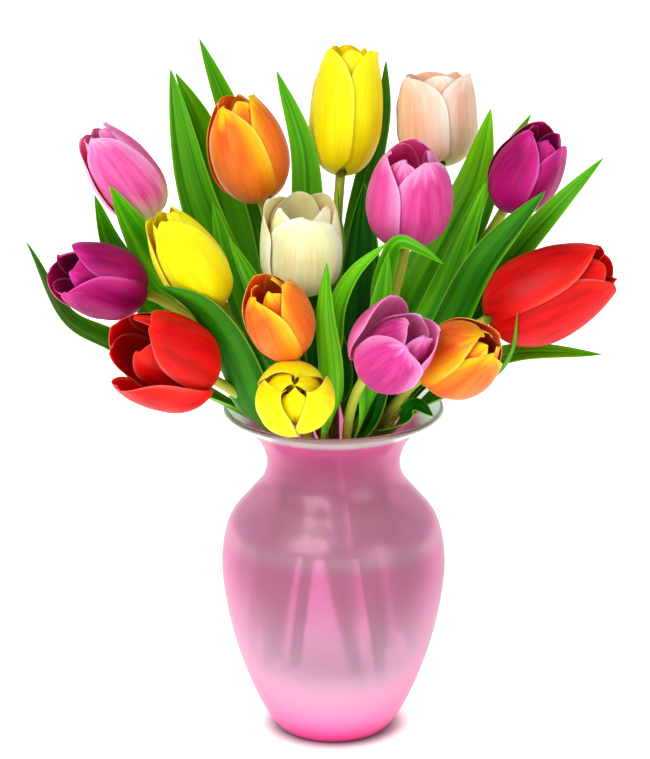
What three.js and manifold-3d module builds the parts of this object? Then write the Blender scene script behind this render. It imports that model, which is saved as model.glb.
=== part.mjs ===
// Fifteen tulips with their leaves, standing in water in a frosted glass vase.
// Sizes are in millimetres and Z is up. The origin is the middle of the vase's foot,
// and the front of the bouquet is towards -Y.
import * as THREE from "three";
import { mergeVertices } from "three/addons/utils/BufferGeometryUtils.js";
import Module from "manifold-3d";

const wasm = await Module();
wasm.setup();

// Driving dimensions of the vase and its water.
const WALL = 3.4;
const FLOOR = 9;
const WATER_LEVEL = 126;
// The rounded lip stands this much over the edge of the outside.
const LIP_RISE = 1.5;
const VASE_SIDES = 24;
const VASE_RINGS = 9;
// Outside of the vase from foot to lip, as radius and height.
const VASE_OUTLINE = [
  [29.5, 0],
  [34, 2.5],
  [42, 14],
  [51, 34],
  [59.5, 60],
  [65, 88],
  [66, 110],
  [61.5, 131],
  [50.5, 145.5],
  [41.8, 156.5],
  [39.3, 168],
  [43.5, 181],
  [53, 191.5],
  [64, 198.5],
];

// Driving dimensions of the tulips.
const NECK_HEIGHT = 165;
const STEM_RADIUS = 3.2;
const STEM_SIDES = 6;
const STEM_STEPS = 6;
const PETAL_THICKNESS = 0.8;
const LEAF_THICKNESS = 0.9;
// The inner ring of petals lies this far inside the outer one, and starts this much higher.
const RING_STEP = 3.6;
// One edge of each petal stands out from its ring by this much and the other in, so they overlap.
const OVERLAP_STEP = 1.3;
// How far a petal's root lies from the bloom's axis, and above the bloom's base.
const PETAL_ROOT = 3;
const PETAL_LIFT = 1.2;
// The small cup between stem and petals, and what stands in it, as radius and height.
const CUP_HEIGHT = 6.4;
const CUP_OUTLINE = [[0, 0], [3.4, 0], [4.8, 1.6], [4.4, CUP_HEIGHT], [0, CUP_HEIGHT]];
const DISC_OUTLINE = [[0, 0], [3.4, 0], [3.4, 1.2], [0, 1.2]];
const PISTIL_OUTLINE = [[0, 0.6], [2.2, 0.6], [2, 13], [3.4, 15.5], [0, 17]];
const STAMEN_OUTLINE = [[0, 0], [1.3, 8], [0, 13]];
const STAMEN_PLACE = 2.6;
const STAMEN_LEAN = 12;
// Shares of a blade's length at which its corners lie, from root to tip.
const OUTER_PETAL_ROWS = [0, 0.18, 0.42, 0.74, 0.92, 1];
const INNER_PETAL_ROWS = [0, 0.42, 0.8, 1];
const LEAF_ROWS = [0, 0.1, 0.26, 0.44, 0.63, 0.83, 1];
// Clear space left between pieces that touch on the real bouquet.
const GAP = 0.3;
// Corners closer than this are one corner.
const MERGE = 1e-4;

// The side that a petal with no spin turns to: forwards and a little down.
const FRONT = new THREE.Vector3(0, -0.8, -0.6);

// One entry for each tulip. The stem runs straight from its foot in the water to the vase's neck and
// bends from there to the bloom's base. Aim is the way that the bloom points. Spin turns the first
// outer petal round from the front, and lean opens the outer and the inner petals, all in degrees.
// Tip is the radius of the bloom's mouth as a share of its widest. Opened leans single petals out
// further, by their place: 0 to 2 in the outer ring and 3 to 5 in the inner one. Each leaf grows from
// the stem at the height `from`, passes through its route and ends at its tip, and its hollow side
// turns to face.
const TULIPS = [
  {
    name: "yellow_top",
    colour: 0xffe600,
    foot: [6, 37, 66],
    neck: [1, 27],
    base: [4, 45, 328],
    aim: [0.08, 0.1, 0.99],
    length: 76,
    radius: 20.3,
    spin: 60,
    lean: [1, 0],
    tip: 0.62,
    leaves: [
      {
        from: 205,
        route: [[-9, 32, 257], [-15, 32, 305], [-18, 34, 347]],
        tip: [-33, 30, 395],
        width: 21,
        face: [0.3, -1, 0],
      },
      {
        from: 200,
        route: [[10, 52, 258], [15, 66, 290], [23, 74, 327], [30, 76, 360]],
        tip: [31, 74, 391],
        width: 19,
        face: [-0.5, -1, 0],
      },
      { from: 262, route: [[6, 39, 290], [4, 37, 307]], tip: [2, 36, 326], width: 6 },
      { from: 196, route: [[6, 58, 230], [14, 84, 262]], tip: [22, 112, 296], width: 20 },
    ],
  },
  {
    name: "orange_left",
    colour: 0xf58a3c,
    foot: [-28, 28, 60],
    neck: [-17, 22],
    base: [-42, 35, 316],
    aim: [-0.25, -0.1, 0.96],
    length: 65,
    radius: 22,
    spin: -25,
    lean: [2, 0],
    tip: 0.38,
    leaves: [
      {
        from: 205,
        route: [[-51, 27, 257], [-71, 26, 295], [-83, 25, 331]],
        tip: [-94, 22, 398],
        width: 25,
        face: [0.4, -1, 0],
      },
      {
        from: 212,
        route: [[-49, 46, 258], [-60, 62, 297], [-76, 60, 353]],
        tip: [-92, 42, 391],
        width: 21,
        face: [0.2, -1, 0],
      },
      {
        from: 200,
        route: [[-28, 52, 250], [-42, 68, 290], [-54, 76, 336]],
        tip: [-79, 74, 404],
        width: 22,
        face: [0.3, -1, 0],
      },
      { from: 194, route: [[-34, 50, 226], [-50, 76, 256]], tip: [-62, 102, 288], width: 20 },
    ],
  },
  {
    name: "pink_left",
    colour: 0xe77bb5,
    foot: [-48, 9, 54],
    neck: [-27, 7],
    base: [-103, 15, 312],
    aim: [-0.56, -0.11, 0.82],
    length: 63,
    radius: 18.5,
    spin: 15,
    lean: [1, 0],
    tip: 0.42,
    leaves: [
      {
        from: 205,
        route: [[-77, 11, 252], [-103, 5, 284], [-117, -8, 313]],
        tip: [-128, -14, 338],
        width: 30,
        face: [0.6, -1, 0.3],
      },
      {
        from: 196,
        route: [[-86, 17, 238], [-113, 12, 268], [-129, -4, 300]],
        tip: [-137, -12, 332],
        width: 24,
        face: [0.6, -1, 0.3],
      },
      { from: 190, route: [[-60, 34, 228], [-88, 52, 252]], tip: [-116, 66, 270], width: 18 },
    ],
  },
  {
    name: "yellow_left",
    colour: 0xffe600,
    foot: [-27, -6, 54],
    neck: [-12, -7],
    base: [-66, -35, 273],
    aim: [-0.48, -0.19, 0.86],
    length: 66,
    radius: 18.5,
    spin: 20,
    lean: [1, 0],
    tip: 0.4,
    leaves: [
      {
        from: 200,
        route: [[-45, -6, 245], [-60, 4, 283]],
        tip: [-70, 10, 322],
        width: 18,
        face: [0.4, -1, 0],
      },
    ],
  },
  {
    name: "purple_left",
    colour: 0x8e1a6b,
    foot: [-43, -13, 43],
    neck: [-28, -6],
    base: [-110, -20, 276],
    aim: [-0.79, -0.48, 0.37],
    length: 56,
    radius: 20,
    spin: 0,
    lean: [3, 1],
    tip: 0.6,
    leaves: [
      {
        from: 186,
        route: [[-83, -15, 217], [-107, -15, 229], [-130, -18, 245], [-153, -20, 260]],
        tip: [-176, -22, 307],
        width: 24,
        face: [0.5, -0.3, 1],
      },
    ],
  },
  {
    name: "red_left",
    colour: 0xe3202a,
    foot: [-36, -25, 44],
    neck: [-22, -18],
    base: [-72, -50, 235],
    aim: [-0.66, -0.55, 0.51],
    length: 66,
    radius: 24,
    spin: 90,
    lean: [2, 1],
    tip: 0.6,
    opened: { 2: 10 },
    leaves: [
      {
        from: 186,
        route: [[-47, -41, 214], [-53, -46, 235], [-63, -51, 259], [-77, -57, 279]],
        tip: [-99, -62, 293],
        width: 25,
        face: [0.2, 0.9, 0.3],
      },
    ],
  },
  {
    name: "cream_middle",
    colour: 0xf3ecc8,
    foot: [7, 3, 60],
    neck: [-3, -1],
    base: [-18, -8, 273],
    aim: [-0.01, -0.21, 0.98],
    length: 58,
    radius: 22.5,
    spin: 5,
    lean: [3, 1],
    tip: 0.7,
    leaves: [
      {
        from: 205,
        route: [[0, -20, 229], [2, -31, 269], [12, -34, 292]],
        tip: [31, -36, 311],
        width: 12,
        face: [-0.3, -1, 0.5],
      },
      {
        from: 188,
        route: [[-2, -11, 214], [-4, -15, 242]],
        tip: [-8, -16, 270],
        width: 29,
        face: [0, -1, 0],
      },
      {
        from: 178,
        route: [[-8, 8, 204], [-9, 14, 240], [-10, 18, 272]],
        tip: [-11, 25, 306],
        width: 25,
        face: [0, -1, 0],
      },
    ],
  },
  {
    name: "orange_middle",
    colour: 0xf58a3c,
    foot: [15, -28, 34],
    neck: [-13, -16],
    base: [-24, -50, 251],
    aim: [-0.25, -0.51, 0.82],
    length: 57,
    radius: 18.5,
    spin: -35,
    lean: [2, 0],
    tip: 0.45,
    leaves: [
      {
        from: 200,
        route: [[-34, -28, 244], [-43, -24, 273]],
        tip: [-60, -22, 309],
        width: 15,
        face: [0.3, -1, 0.3],
      },
      {
        from: 190,
        route: [[-24, -38, 209], [-38, -44, 238]],
        tip: [-51, -44, 262],
        width: 16,
        face: [0.4, 1, 0.3],
      },
    ],
  },
  {
    name: "yellow_open",
    colour: 0xffe600,
    foot: [-21, -37, 54],
    neck: [-7, -27],
    base: [-23, -62, 221],
    aim: [0.03, -0.8, 0.6],
    length: 38,
    radius: 20,
    spin: 62,
    lean: [3, 0],
    tip: 0.03,
    opened: { 0: 8, 1: 3, 2: 8 },
    leaves: [
      {
        from: 184,
        route: [[-2, -46, 207], [-2, -54, 240], [-5, -55, 276]],
        tip: [-4, -51, 303],
        width: 15,
        face: [0.2, 1, 0],
      },
    ],
  },
  {
    name: "pink_right",
    colour: 0xe267a0,
    foot: [21, 8, 56],
    neck: [12, 4],
    base: [42, 15, 297],
    aim: [0.04, -0.35, 0.94],
    length: 63,
    radius: 24.3,
    spin: 38,
    lean: [1, 0],
    tip: 0.5,
    leaves: [
      {
        from: 200,
        route: [[26, -5, 249], [28, -20, 284], [37, -28, 308], [49, -34, 306]],
        tip: [63, -38, 298],
        width: 14,
        face: [0.3, -1, 0.6],
      },
      { from: 172, route: [[10, 9, 200], [15, 13, 262]], tip: [18, 22, 330], width: 28, face: [0, -1, 0] },
    ],
  },
  {
    name: "peach_right",
    colour: 0xf0c2ae,
    foot: [25, 30, 60],
    neck: [19, 20],
    base: [62, 60, 329],
    aim: [-0.04, 0.15, 1],
    length: 56,
    radius: 22.8,
    spin: 70,
    lean: [2, 1],
    tip: 0.8,
    leaves: [
      {
        from: 200,
        route: [[46, 32, 258], [66, 35, 297], [81, 31, 330]],
        tip: [91, 28, 373],
        width: 33,
        face: [0.5, -1, 0.2],
      },
      {
        from: 225,
        route: [[81, 45, 292], [97, 54, 330]],
        tip: [116, 52, 364],
        width: 16,
        face: [-0.5, -1, 0.2],
      },
      { from: 196, route: [[40, 48, 226], [60, 74, 258]], tip: [86, 100, 290], width: 20 },
    ],
  },
  {
    name: "purple_right",
    colour: 0x8e1a6b,
    foot: [45, 11, 52],
    neck: [27, 7],
    base: [100, 25, 314],
    aim: [0.42, -0.28, 0.86],
    length: 56,
    radius: 19.2,
    spin: 50,
    lean: [2, 1],
    tip: 0.5,
    leaves: [
      {
        from: 192,
        route: [[48, 3, 234], [65, 9, 268], [77, 11, 300]],
        tip: [88, 10, 334],
        width: 20,
        face: [-0.4, -1, 0.2],
      },
      { from: 190, route: [[62, 34, 232], [88, 54, 254]], tip: [112, 70, 276], width: 18 },
      { from: 184, route: [[35, -1, 206], [41, 1, 222]], tip: [47, 4, 244], width: 18, face: [0, -1, 0] },
    ],
  },
  {
    name: "red_right",
    colour: 0xe3202a,
    foot: [43, -3, 46],
    neck: [27, -9],
    base: [88, -25, 261],
    aim: [0.88, -0.13, 0.46],
    length: 78,
    radius: 26,
    spin: 11,
    lean: [1, 0],
    tip: 0.48,
    leaves: [
      {
        from: 205,
        route: [[60, -9, 238], [72, -6, 261], [88, -8, 293]],
        tip: [121, -14, 335],
        width: 22,
        face: [-0.5, -1, 0.4],
      },
      {
        from: 196,
        route: [[62, -5, 231], [85, 4, 264], [105, 4, 292], [130, 0, 323]],
        tip: [155, 0, 351],
        width: 19,
        face: [-0.5, -1, 0.4],
      },
      {
        from: 186,
        route: [[56, -18, 210], [79, -22, 230], [107, -24, 241]],
        tip: [155, -24, 240],
        width: 14,
        face: [-0.2, -0.8, 0.8],
      },
    ],
  },
  {
    name: "mauve_middle",
    colour: 0xd75ba6,
    foot: [27, -33, 36],
    neck: [9, -27],
    base: [21, -66, 243],
    aim: [0.52, -0.5, 0.68],
    length: 50,
    radius: 20.5,
    spin: -24,
    lean: [3, -3],
    tip: 0.55,
    opened: { 0: 5, 2: 12 },
    leaves: [
      {
        from: 186,
        route: [[21, -42, 218], [23, -44, 246], [27, -43, 275]],
        tip: [31, -42, 307],
        width: 17,
        face: [0, 1, 0.2],
      },
      {
        from: 178,
        route: [[19, -32, 208], [26, -32, 244]],
        tip: [29, -30, 264],
        width: 20,
        face: [0, -1, 0],
      },
    ],
  },
  {
    name: "orange_right",
    colour: 0xf58a3c,
    foot: [43, -18, 50],
    neck: [20, -19],
    base: [55, -40, 234],
    aim: [0.62, -0.59, 0.51],
    length: 55,
    radius: 22,
    spin: 18,
    lean: [1, -1],
    tip: 0.3,
    leaves: [
      {
        from: 188,
        route: [[40, -42, 207], [47, -45, 216]],
        tip: [57, -50, 211],
        width: 16,
        face: [0, -0.5, 1],
      },
      {
        from: 200,
        route: [[64, -30, 216], [92, -36, 230], [102, -47, 250]],
        tip: [104, -56, 275],
        width: 5,
        face: [-0.5, 0.5, 1],
      },
    ],
  },
];

// A closed three.js geometry as a solid that can be joined and cut.
function solidOf(geometry) {
  const bare = geometry.clone();
  bare.deleteAttribute("normal");
  bare.deleteAttribute("uv");
  const merged = mergeVertices(bare, MERGE);
  return new wasm.Manifold(
    new wasm.Mesh({
      numProp: 3,
      vertProperties: merged.attributes.position.array,
      triVerts: new Uint32Array(merged.index.array),
    }),
  );
}

// The largest body of a solid, without loose scraps and with sealed hollows filled.
function largestBody(solid) {
  return solid
    .decompose()
    .reduce((largest, body) => (body.volume() > largest.volume() ? body : largest));
}

function geometryOf(solid) {
  const mesh = solid.getMesh();
  return new THREE.BufferGeometry()
    .setAttribute("position", new THREE.BufferAttribute(mesh.vertProperties, 3))
    .setIndex(new THREE.BufferAttribute(mesh.triVerts, 1));
}

function fused(geometries) {
  return geometryOf(largestBody(wasm.Manifold.union(geometries.map(solidOf))));
}

function radians(degrees) {
  return THREE.MathUtils.degToRad(degrees);
}

// A thin closed blade round the middle surface middle(u, v), where u runs from 0 at the root to 1 at
// the tip and v from -1 to 1 across. Root and tip are one point each, the root being sunk in what the
// blade grows from, and both faces are split into triangles alike.
function blade(middle, shares, columns, thickness) {
  const corners = [];
  const step = 0.01;
  const rows = shares.length - 1;
  for (let row = 0; row <= rows; row += 1) {
    const u = shares[row];
    const atEnd = row === 0 || row === rows;
    const places = atEnd ? [0] : Array.from({ length: columns + 1 }, (_, j) => (2 * j) / columns - 1);
    for (const v of places) {
      const near = Math.min(Math.max(u, step), 1 - 2 * step);
      const along = middle(near + step, v).sub(middle(near - step, v));
      const across = middle(near, v + step).sub(middle(near, v - step));
      const offset = along.cross(across).setLength(thickness / 2);
      const point = middle(u, v);
      corners.push(point.clone().add(offset), point.clone().sub(offset));
    }
  }
  const tip = 1 + (rows - 1) * (columns + 1);
  const upper = (row, column) => {
    if (row === 0) return 0;
    return 2 * (row === rows ? tip : 1 + (row - 1) * (columns + 1) + column);
  };
  const lower = (row, column) => upper(row, column) + 1;
  const triangles = [];
  const add = (a, b, c) => {
    if (a !== b && b !== c && a !== c) triangles.push(a, b, c);
  };
  for (let row = 0; row < rows; row += 1) {
    for (let column = 0; column < columns; column += 1) {
      const ring = [
        [row, column],
        [row + 1, column],
        [row + 1, column + 1],
        [row, column + 1],
      ];
      const [a, b, c, d] = ring.map(([i, j]) => upper(i, j));
      const [e, f, g, h] = ring.map(([i, j]) => lower(i, j));
      if (column < columns / 2) {
        add(a, b, c);
        add(a, c, d);
        add(e, g, f);
        add(e, h, g);
      } else {
        add(a, b, d);
        add(b, c, d);
        add(e, h, f);
        add(f, h, g);
      }
    }
    add(upper(row, 0), lower(row, 0), upper(row + 1, 0));
    add(upper(row + 1, 0), lower(row, 0), lower(row + 1, 0));
    add(upper(row, columns), upper(row + 1, columns), lower(row, columns));
    add(upper(row + 1, columns), lower(row + 1, columns), lower(row, columns));
  }
  return new THREE.BufferGeometry()
    .setAttribute("position", new THREE.Float32BufferAttribute(corners.flatMap((p) => p.toArray()), 3))
    .setIndex(triangles);
}

function lathe(profile, sides) {
  return new THREE.LatheGeometry(
    profile.map(([radius, height]) => new THREE.Vector2(radius, height)),
    sides,
  ).rotateX(Math.PI / 2);
}

// The middle surface of one petal in its bloom's own frame, with the bloom's axis along Z.
// From its root it rounds out to the widest place and then draws in to the mouth.
function petalSurface({ length, radius, tip, spread, lean, spin, lift }) {
  const widest = 0.42;
  const widestHeight = 0.4 * length;
  const narrowsFrom = 0.45;
  return (u, v) => {
    const rise = Math.max((u - widest) / (1 - widest), 0);
    const swell = Math.min(u / widest, 1) * (Math.PI / 2);
    const ring =
      u < widest
        ? PETAL_ROOT + (radius - PETAL_ROOT) * Math.sin(swell)
        : radius * (1 - (1 - tip) * Math.pow(rise, 2.1));
    const height =
      u < widest ? widestHeight * (1 - Math.cos(swell)) : widestHeight + (length - widestHeight) * rise;
    const narrowing = Math.max((u - narrowsFrom) / (1 - narrowsFrom), 0);
    const claw = 0.3 + 0.7 * Math.min(4 * u, 1);
    const roundTip = Math.pow(Math.max(1 - Math.pow(narrowing, 4), 0), 0.55);
    const angle = v * spread * claw * roundTip;
    const overlap = OVERLAP_STEP * v * Math.min(4 * u, 1);
    const out = (ring + overlap) * Math.cos(angle) - PETAL_ROOT;
    const point = new THREE.Vector3(
      PETAL_ROOT + out * Math.cos(lean) + height * Math.sin(lean),
      (ring + overlap) * Math.sin(angle),
      lift - out * Math.sin(lean) + height * Math.cos(lean),
    );
    return point.applyAxisAngle(new THREE.Vector3(0, 0, 1), spin);
  };
}

// Three outer and three inner petals on the small cup that ends the stem.
function bloomGeometry(tulip) {
  const cup = lathe(CUP_OUTLINE, 6).rotateZ(radians(tulip.spin));
  const petals = [];
  for (let place = 0; place < 6; place += 1) {
    const inner = place > 2;
    const opened = (tulip.opened && tulip.opened[place]) || 0;
    const surface = petalSurface({
      length: tulip.length - PETAL_LIFT - (inner ? RING_STEP : 0),
      radius: tulip.radius - (inner ? RING_STEP : 0),
      tip: tulip.tip,
      spread: radians(inner ? 60 : 70),
      lean: radians(tulip.lean[inner ? 1 : 0] + opened),
      spin: radians(tulip.spin + 120 * place + (inner ? 60 : 0)),
      lift: PETAL_LIFT + (inner ? RING_STEP : 0),
    });
    petals.push(blade(surface, inner ? INNER_PETAL_ROWS : OUTER_PETAL_ROWS, inner ? 3 : 4, PETAL_THICKNESS));
  }
  return fused([cup, ...petals]);
}

// The pistil with its three-sided stigma, and six stamens round it, on the small disc they grow from.
function heartGeometry() {
  const parts = [lathe(DISC_OUTLINE, 6), lathe(PISTIL_OUTLINE, 3)];
  for (let place = 0; place < 6; place += 1) {
    const stamen = lathe(STAMEN_OUTLINE, 3).rotateY(radians(STAMEN_LEAN)).translate(STAMEN_PLACE, 0, 0);
    parts.push(stamen.rotateZ(radians(60 * place + 30)));
  }
  return fused(parts);
}

// The stem's path from its foot through the neck to just below the bloom.
function stemPath(tulip) {
  const foot = new THREE.Vector3(...tulip.foot);
  const neck = new THREE.Vector3(...tulip.neck, NECK_HEIGHT);
  const aim = new THREE.Vector3(...tulip.aim).normalize();
  const end = new THREE.Vector3(...tulip.base).addScaledVector(aim, -GAP);
  const reach = neck.distanceTo(end);
  const rise = neck.clone().sub(foot).normalize();
  const path = new THREE.CurvePath();
  path.add(new THREE.LineCurve3(foot, neck));
  path.add(
    new THREE.CubicBezierCurve3(
      neck,
      neck.clone().addScaledVector(rise, 0.25 * reach),
      end.clone().addScaledVector(aim, -0.3 * reach),
      end,
    ),
  );
  return path;
}

function tube(path, radius, sides, steps) {
  const section = new THREE.Shape(
    Array.from({ length: sides }, (_, i) => {
      const angle = (2 * Math.PI * i) / sides;
      return new THREE.Vector2(radius * Math.cos(angle), radius * Math.sin(angle));
    }),
  );
  return new THREE.ExtrudeGeometry(section, { steps, extrudePath: path, bevelEnabled: false });
}

// Where the path first reaches a height, and the path's direction there.
function placeAtHeight(path, height) {
  let low = 0;
  let high = 1;
  for (let round = 0; round < 24; round += 1) {
    const middle = (low + high) / 2;
    if (path.getPointAt(middle).z < height) low = middle;
    else high = middle;
  }
  return { point: path.getPointAt(low), tangent: path.getTangentAt(low) };
}

// A leaf clasps the stem at its root, widens, and runs out to a point. It is hollow across.
function leafGeometry(path, leaf) {
  const { point, tangent } = placeAtHeight(path, leaf.from);
  const route = leaf.route.map((place) => new THREE.Vector3(...place));
  const out = route[0].clone().sub(point).projectOnPlane(tangent).normalize();
  const root = point.clone().addScaledVector(out, STEM_RADIUS - 1);
  const places = [root, ...route, new THREE.Vector3(...leaf.tip)];
  const spine = new THREE.CatmullRomCurve3(places, false, "centripetal");
  const stemSide = out.clone().negate();
  const face = leaf.face ? new THREE.Vector3(...leaf.face).normalize() : stemSide;
  const half = leaf.width / 2;
  const leastWidth = 0.01;
  const widensTo = 0.36;
  const narrowsFrom = 0.45;
  // How far the leaf's cross section turns from its middle to its edge, in radians.
  const rootBend = 1.1;
  const openBend = 0.45;
  const middle = (u, v) => {
    const along = Math.min(Math.max(u, 0), 1);
    const centre = spine.getPointAt(along);
    const direction = spine.getTangentAt(Math.min(along, 0.995));
    const turned = THREE.MathUtils.smoothstep(along, 0.02, 0.55);
    const hollow = stemSide.clone().lerp(face, turned).projectOnPlane(direction).normalize();
    const side = direction.clone().cross(hollow);
    const swell = 0.3 + 0.7 * Math.sin((Math.PI / 2) * Math.min(along / widensTo, 1));
    const narrowing = Math.max((along - narrowsFrom) / (1 - narrowsFrom), 0);
    const taper = Math.pow(Math.max(1 - narrowing * narrowing, 0), 0.85);
    const bend = rootBend + (openBend - rootBend) * THREE.MathUtils.smoothstep(along, 0, 0.4);
    const width = Math.max(half * swell * taper, leastWidth);
    const arc = width / bend;
    return centre
      .addScaledVector(side, arc * Math.sin(v * bend))
      .addScaledVector(hollow, arc * (1 - Math.cos(v * bend)));
  };
  return blade(middle, LEAF_ROWS, 2, LEAF_THICKNESS);
}

function leafyStemGeometry(tulip) {
  const path = stemPath(tulip);
  const stem = tube(path, STEM_RADIUS, STEM_SIDES, STEM_STEPS);
  return fused([stem, ...tulip.leaves.map((leaf) => leafGeometry(path, leaf))]);
}

// Points along the vase's outside, moved inwards by a distance.
function vaseCurve(inset) {
  const places = VASE_OUTLINE.map(([radius, height]) => new THREE.Vector2(radius, height));
  const curve = new THREE.SplineCurve(places);
  return Array.from({ length: VASE_RINGS + 1 }, (_, i) => {
    const point = curve.getPoint(i / VASE_RINGS);
    const tangent = curve.getTangent(i / VASE_RINGS);
    return [point.x - inset * tangent.y, point.y + inset * tangent.x];
  });
}

// The part of a curve between two heights, with a point cut in at each.
function between(curve, low, high) {
  const cut = [];
  for (let i = 0; i < curve.length; i += 1) {
    const [radius, height] = curve[i];
    const [lastRadius, lastHeight] = curve[Math.max(i - 1, 0)];
    for (const level of [low, high]) {
      if (lastHeight < level && height > level) {
        const share = (level - lastHeight) / (height - lastHeight);
        cut.push([lastRadius + share * (radius - lastRadius), level]);
      }
    }
    if (height > low && height < high) cut.push([radius, height]);
  }
  return cut;
}

function vaseGeometry() {
  const outside = vaseCurve(0);
  const inside = between(vaseCurve(WALL), FLOOR, Infinity);
  const [rimRadius, rimHeight] = outside[outside.length - 1];
  const lip = [rimRadius - 0.4 * WALL, rimHeight + LIP_RISE];
  return lathe([[0, 0], ...outside, lip, ...inside.reverse(), [0, FLOOR]], VASE_SIDES);
}

// The water fills the vase to its level, with a plain hole for each stem.
function waterGeometry() {
  const side = between(vaseCurve(WALL + GAP), FLOOR + GAP, WATER_LEVEL);
  let water = solidOf(lathe([[0, FLOOR + GAP], ...side, [0, WATER_LEVEL]], VASE_SIDES));
  for (const tulip of TULIPS) {
    const foot = new THREE.Vector3(...tulip.foot);
    const neck = new THREE.Vector3(...tulip.neck, NECK_HEIGHT);
    const rise = neck.clone().sub(foot).normalize();
    const line = new THREE.LineCurve3(foot.addScaledVector(rise, -GAP), neck);
    water = water.subtract(solidOf(tube(line, STEM_RADIUS + GAP, STEM_SIDES, 1)));
  }
  return geometryOf(largestBody(water));
}

function piece(name, geometry, colour, roughness, extra = {}) {
  const material = new THREE.MeshStandardMaterial({ color: colour, roughness, metalness: 0, ...extra });
  const mesh = new THREE.Mesh(geometry, material);
  mesh.name = name;
  return mesh;
}

const group = new THREE.Group();
group.add(piece("vase", vaseGeometry(), 0xe58cb8, 0.5, { transparent: true, opacity: 0.6 }));
group.add(piece("water", waterGeometry(), 0xdfeff2, 0.05, { transparent: true, opacity: 0.3 }));
for (const tulip of TULIPS) {
  const aim = new THREE.Vector3(...tulip.aim).normalize();
  const front = FRONT.clone().projectOnPlane(aim).normalize();
  const frame = new THREE.Matrix4().makeBasis(front, aim.clone().cross(front), aim);
  const head = new THREE.Group();
  head.quaternion.setFromRotationMatrix(frame);
  head.position.set(...tulip.base);
  head.add(piece(tulip.name + "_bloom", bloomGeometry(tulip), tulip.colour, 0.45));
  const heart = piece(tulip.name + "_heart", heartGeometry(), 0xc9b23c, 0.6);
  heart.position.z = CUP_HEIGHT + GAP;
  head.add(heart);
  group.add(head);
  group.add(piece(tulip.name + "_stem", leafyStemGeometry(tulip), 0x3f9b14, 0.5));
}

export default group;
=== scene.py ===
"""Fifteen tulips with their leaves, standing in water in a frosted pink glass vase.

The pieces are made from sizes in millimetres and turned to metres where a mesh is made. The origin is the
middle of the vase's foot, Z is up, and the front of the bouquet is towards -Y.
"""

import bisect
import math
import random
from functools import partial

import bmesh
import bpy
from mathutils import Matrix, Vector, noise


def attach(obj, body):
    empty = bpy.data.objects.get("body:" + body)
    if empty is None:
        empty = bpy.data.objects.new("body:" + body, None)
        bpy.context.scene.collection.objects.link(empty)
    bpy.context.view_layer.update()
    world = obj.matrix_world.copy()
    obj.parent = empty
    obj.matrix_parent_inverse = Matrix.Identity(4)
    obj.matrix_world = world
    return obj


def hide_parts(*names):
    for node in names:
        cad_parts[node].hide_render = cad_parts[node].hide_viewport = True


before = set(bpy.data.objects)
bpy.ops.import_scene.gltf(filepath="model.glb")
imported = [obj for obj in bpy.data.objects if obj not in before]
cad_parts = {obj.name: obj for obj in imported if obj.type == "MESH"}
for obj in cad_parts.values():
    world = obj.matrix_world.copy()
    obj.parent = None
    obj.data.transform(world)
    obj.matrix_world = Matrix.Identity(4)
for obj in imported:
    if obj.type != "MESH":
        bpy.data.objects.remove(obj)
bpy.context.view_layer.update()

MM = 0.001

# The vase and its water, in the sizes of the part.
WALL = 3.4
FLOOR = 9
WATER_LEVEL = 126
# Outside of the vase from foot to lip, as radius and height.
VASE_OUTLINE = [
    (29.5, 0), (34, 2.5), (42, 14), (51, 34), (59.5, 60), (65, 88), (66, 110), (61.5, 131), (50.5, 145.5),
    (41.8, 156.5), (39.3, 168), (43.5, 181), (53, 191.5), (64, 198.5),
]
VASE_SIDES = 128
VASE_RINGS = 104

# The tulips, in the sizes of the part.
NECK_HEIGHT = 165
STEM_RADIUS = 3.2
PETAL_THICKNESS = 0.8
LEAF_THICKNESS = 0.9
# How far the inner petals start inside and above the outer ones, and each edge laps over its neighbour.
RING_STEP = 3.6
OVERLAP_STEP = 1.3
# Where petals start: this far from the bloom's axis and above the foot of its cup.
PETAL_ROOT = 3
PETAL_LIFT = 1.2
CUP_HEIGHT = 6.4
# Between one part and the next.
GAP = 0.3
# The side that a petal with no spin turns to: forwards and a little down.
FRONT = Vector((0, -0.8, -0.6))

# How finely the blades are divided, along and across.
PETAL_ROWS = 34
PETAL_COLUMNS = 18
LEAF_ROWS = 56
LEAF_COLUMNS = 12
STEM_SIDES = 16
STEM_STEPS = 60
CUP_SIDES = 24


def leaf(start, width, shade, route, face=None):
    """A leaf: the height where it leaves the stem, its width, how light its green is, from 0 to 1, the places
    that it passes up to its tip, and the side that its hollow turns to. How light its green is holds painted
    shade as well: the leaves at the back, set near 0, are painted dark as the shade among the stems."""
    return {"from": start, "route": route, "width": width, "shade": shade, "face": face}


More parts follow.
